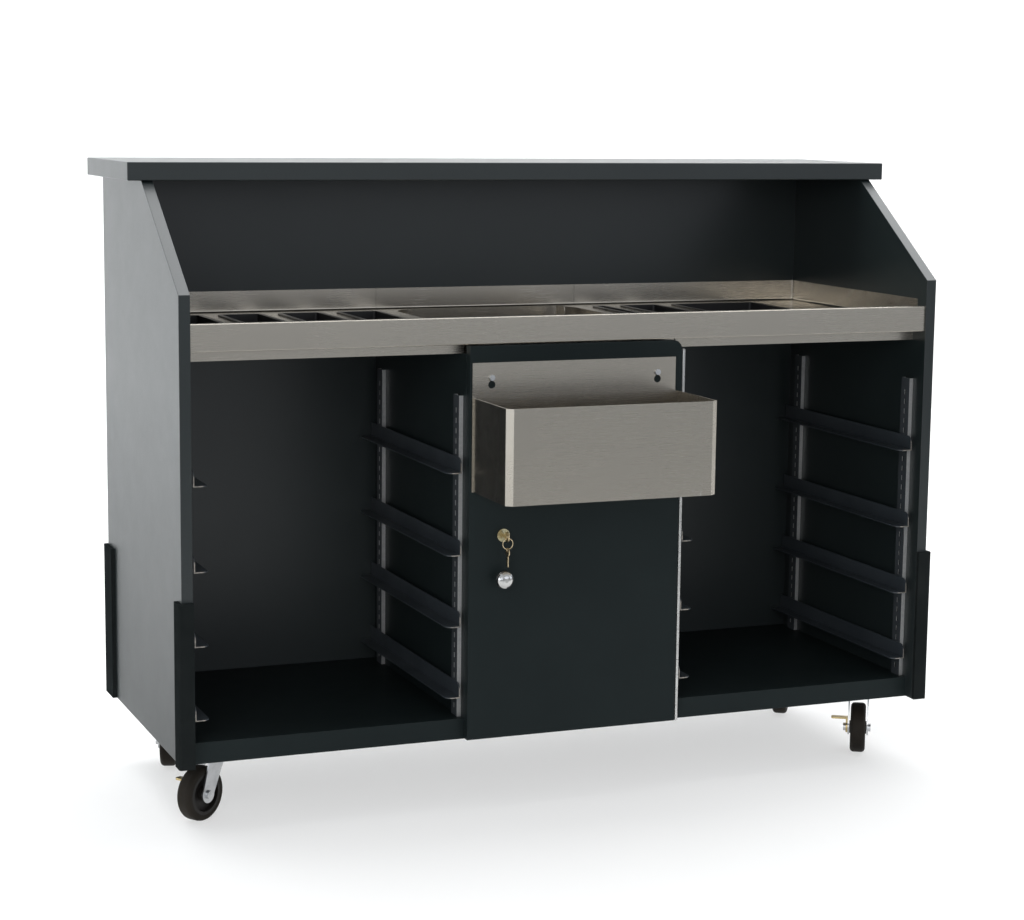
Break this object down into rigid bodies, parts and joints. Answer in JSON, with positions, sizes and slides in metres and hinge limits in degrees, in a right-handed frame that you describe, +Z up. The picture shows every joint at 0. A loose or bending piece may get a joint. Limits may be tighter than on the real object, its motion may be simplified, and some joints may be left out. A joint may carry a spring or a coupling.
{
  "type": "portable bar",
  "caption": "Portable bar on swivel casters with a raised bar top, stainless work top with drop-in wells and ice bin, open rack bays and a locked cabinet with a hung bottle rail.",
  "frame": {"origin": "on the floor, under the middle of the box that holds the whole bar", "axes": "+X along the bar to the right as the bartender sees it, +Y towards the customers, +Z up"},
  "size_m": [1.584, 0.7846, 1.206],
  "materials": {
    "laminate": "satin black laminate on board",
    "stainless": "brushed",
    "cleat_wood": "raw softwood",
    "foam": "rigid foam",
    "drain_plastic": "moulded",
    "lever_steel": "dipped",
    "pilaster_metal": "zinc plated",
    "slide_black": "black powder coat",
    "bumper_rubber": "matt",
    "hinge_metal": "satin",
    "knob_chrome": "polished",
    "lock_brass": "polished",
    "zinc_steel": "zinc plated",
    "key_brass": "satin",
    "well_plastic": "moulded",
    "wheel_plastic": "moulded",
    "caster_tyre": "matt",
    "brake_zinc": "yellow plated"
  },
  "bodies": {
    "carcass": {"bar_top": "laminate", "base": "laminate", "bin_drain": "drain_plastic", "bin_jacket": "foam", "caster_bolts": "zinc_steel", "caster_plates": "zinc_steel", "corner_bumpers": "bumper_rubber", "customer_panel": "laminate", "frame_hinge_leaf": "hinge_metal", "front_apron": "stainless", "front_rails": "stainless", "hinge_pin": "hinge_metal", "ice_bin": "stainless", "left_deck": "stainless", "left_end_panel": "laminate", "left_partition": "laminate", "lock_strike": "zinc_steel", "pilasters": "pilaster_metal", "rack_slides": "slide_black", "rear_cleats": "cleat_wood", "right_deck": "stainless", "right_end_panel": "laminate", "right_partition": "laminate"},
    "door": {"door": "laminate", "door_hinge_leaf": "hinge_metal", "door_knob": "knob_chrome", "lock_body": "lock_brass", "rail_screws": "zinc_steel"},
    "lock": {"lock_plug": "lock_brass", "lock_cam": "zinc_steel", "door_key": "key_brass"},
    "spare_key": {"spare_key": "key_brass"},
    "speed_rail": {"speed_rail": "stainless"},
    "bin_divider": {"bin_divider": "stainless"},
    "drain_lever": {"drain_lever": "lever_steel"},
    "bottle_well_1": {"bottle_well_1": "well_plastic"},
    "bottle_well_2": {"bottle_well_2": "well_plastic"},
    "bottle_well_3": {"bottle_well_3": "well_plastic"},
    "bottle_well_4": {"bottle_well_4": "well_plastic"},
    "tool_well": {"tool_well": "well_plastic"},
    "garnish_well": {"garnish_well": "well_plastic"},
    "mixing_well": {"mixing_well": "well_plastic"},
    "front_left_caster": {"front_left_fork": "zinc_steel", "front_left_axle": "zinc_steel"},
    "front_left_roller": {"front_left_wheel": "wheel_plastic", "front_left_tyre": "caster_tyre"},
    "front_right_caster": {"front_right_fork": "zinc_steel", "front_right_axle": "zinc_steel"},
    "front_right_roller": {"front_right_wheel": "wheel_plastic", "front_right_tyre": "caster_tyre"},
    "rear_left_caster": {"rear_left_fork": "zinc_steel", "rear_left_axle": "zinc_steel"},
    "rear_left_roller": {"rear_left_wheel": "wheel_plastic", "rear_left_tyre": "caster_tyre"},
    "rear_right_caster": {"rear_right_fork": "zinc_steel", "rear_right_axle": "zinc_steel"},
    "rear_right_roller": {"rear_right_wheel": "wheel_plastic", "rear_right_tyre": "caster_tyre"},
    "front_left_brake": {"front_left_brake_lever": "brake_zinc"},
    "front_right_brake": {"front_right_brake_lever": "brake_zinc"}
  },
  "joints": [
    {"name": "door_swing", "type": "hinge", "parent": "carcass", "child": "door", "pos_m": [0.2156, -0.21985, 0.524], "axis": [0, 0, 1], "range_deg": [0, 90]},
    {"name": "lock_turn", "type": "hinge", "parent": "door", "child": "lock", "pos_m": [-0.152, -0.22325, 0.524], "axis": [0, 1, 0], "range_deg": [0, 90]},
    {"name": "spare_key_swing", "type": "hinge", "parent": "lock", "child": "spare_key", "pos_m": [-0.152, -0.24725, 0.524], "axis": [-1, 0, 0], "range_deg": [-8, 70]},
    {"name": "rail_lift", "type": "slide", "parent": "door", "child": "speed_rail", "axis": [0, 0, 1], "range_m": [0, 0.012]},
    {"name": "divider_lift", "type": "slide", "parent": "carcass", "child": "bin_divider", "axis": [0, 0, 1], "range_m": [0, 0.24]},
    {"name": "drain_turn", "type": "hinge", "parent": "carcass", "child": "drain_lever", "pos_m": [0, 0.04975, 0.5732], "axis": [0, 1, 0], "range_deg": [0, 90]},
    {"name": "bottle_well_1_lift", "type": "slide", "parent": "carcass", "child": "bottle_well_1", "axis": [0, 0, 1], "range_m": [0, 0.06]},
    {"name": "bottle_well_2_lift", "type": "slide", "parent": "carcass", "child": "bottle_well_2", "axis": [0, 0, 1], "range_m": [0, 0.06]},
    {"name": "bottle_well_3_lift", "type": "slide", "parent": "carcass", "child": "bottle_well_3", "axis": [0, 0, 1], "range_m": [0, 0.06]},
    {"name": "bottle_well_4_lift", "type": "slide", "parent": "carcass", "child": "bottle_well_4", "axis": [0, 0, 1], "range_m": [0, 0.06]},
    {"name": "tool_well_lift", "type": "slide", "parent": "carcass", "child": "tool_well", "axis": [0, 0, 1], "range_m": [0, 0.06]},
    {"name": "garnish_well_lift", "type": "slide", "parent": "carcass", "child": "garnish_well", "axis": [0, 0, 1], "range_m": [0, 0.06]},
    {"name": "mixing_well_lift", "type": "slide", "parent": "carcass", "child": "mixing_well", "axis": [0, 0, 1], "range_m": [0, 0.06]},
    {"name": "front_left_swivel", "type": "hinge", "parent": "carcass", "child": "front_left_caster", "pos_m": [-0.681, -0.08975, 0.12], "axis": [0, 0, 1], "continuous": true},
    {"name": "front_left_roll", "type": "hinge", "parent": "front_left_caster", "child": "front_left_roller", "pos_m": [-0.70394, -0.10581, 0.051], "axis": [0.5736, -0.8192, 0], "continuous": true},
    {"name": "front_left_brake_press", "type": "hinge", "parent": "front_left_caster", "child": "front_left_brake", "pos_m": [-0.70394, -0.10581, 0.051], "axis": [0.5736, -0.8192, 0], "range_deg": [0, 35]},
    {"name": "front_right_swivel", "type": "hinge", "parent": "carcass", "child": "front_right_caster", "pos_m": [0.703, -0.08975, 0.12], "axis": [0, 0, 1], "continuous": true},
    {"name": "front_right_roll", "type": "hinge", "parent": "front_right_caster", "child": "front_right_roller", "pos_m": [0.68858, -0.11375, 0.051], "axis": [0.8572, -0.515, 0], "continuous": true},
    {"name": "front_right_brake_press", "type": "hinge", "parent": "front_right_caster", "child": "front_right_brake", "pos_m": [0.68858, -0.11375, 0.051], "axis": [0.8572, -0.515, 0], "range_deg": [0, 35]},
    {"name": "rear_left_swivel", "type": "hinge", "parent": "carcass", "child": "rear_left_caster", "pos_m": [-0.681, 0.23925, 0.12], "axis": [0, 0, 1], "continuous": true},
    {"name": "rear_left_roll", "type": "hinge", "parent": "rear_left_caster", "child": "rear_left_roller", "pos_m": [-0.67235, 0.26588, 0.051], "axis": [-0.9511, 0.309, 0], "continuous": true},
    {"name": "rear_right_swivel", "type": "hinge", "parent": "carcass", "child": "rear_right_caster", "pos_m": [0.703, 0.23925, 0.12], "axis": [0, 0, 1], "continuous": true},
    {"name": "rear_right_roll", "type": "hinge", "parent": "rear_right_caster", "child": "rear_right_roller", "pos_m": [0.68734, 0.21604, 0.051], "axis": [0.829, -0.5592, 0], "continuous": true}
  ]
}
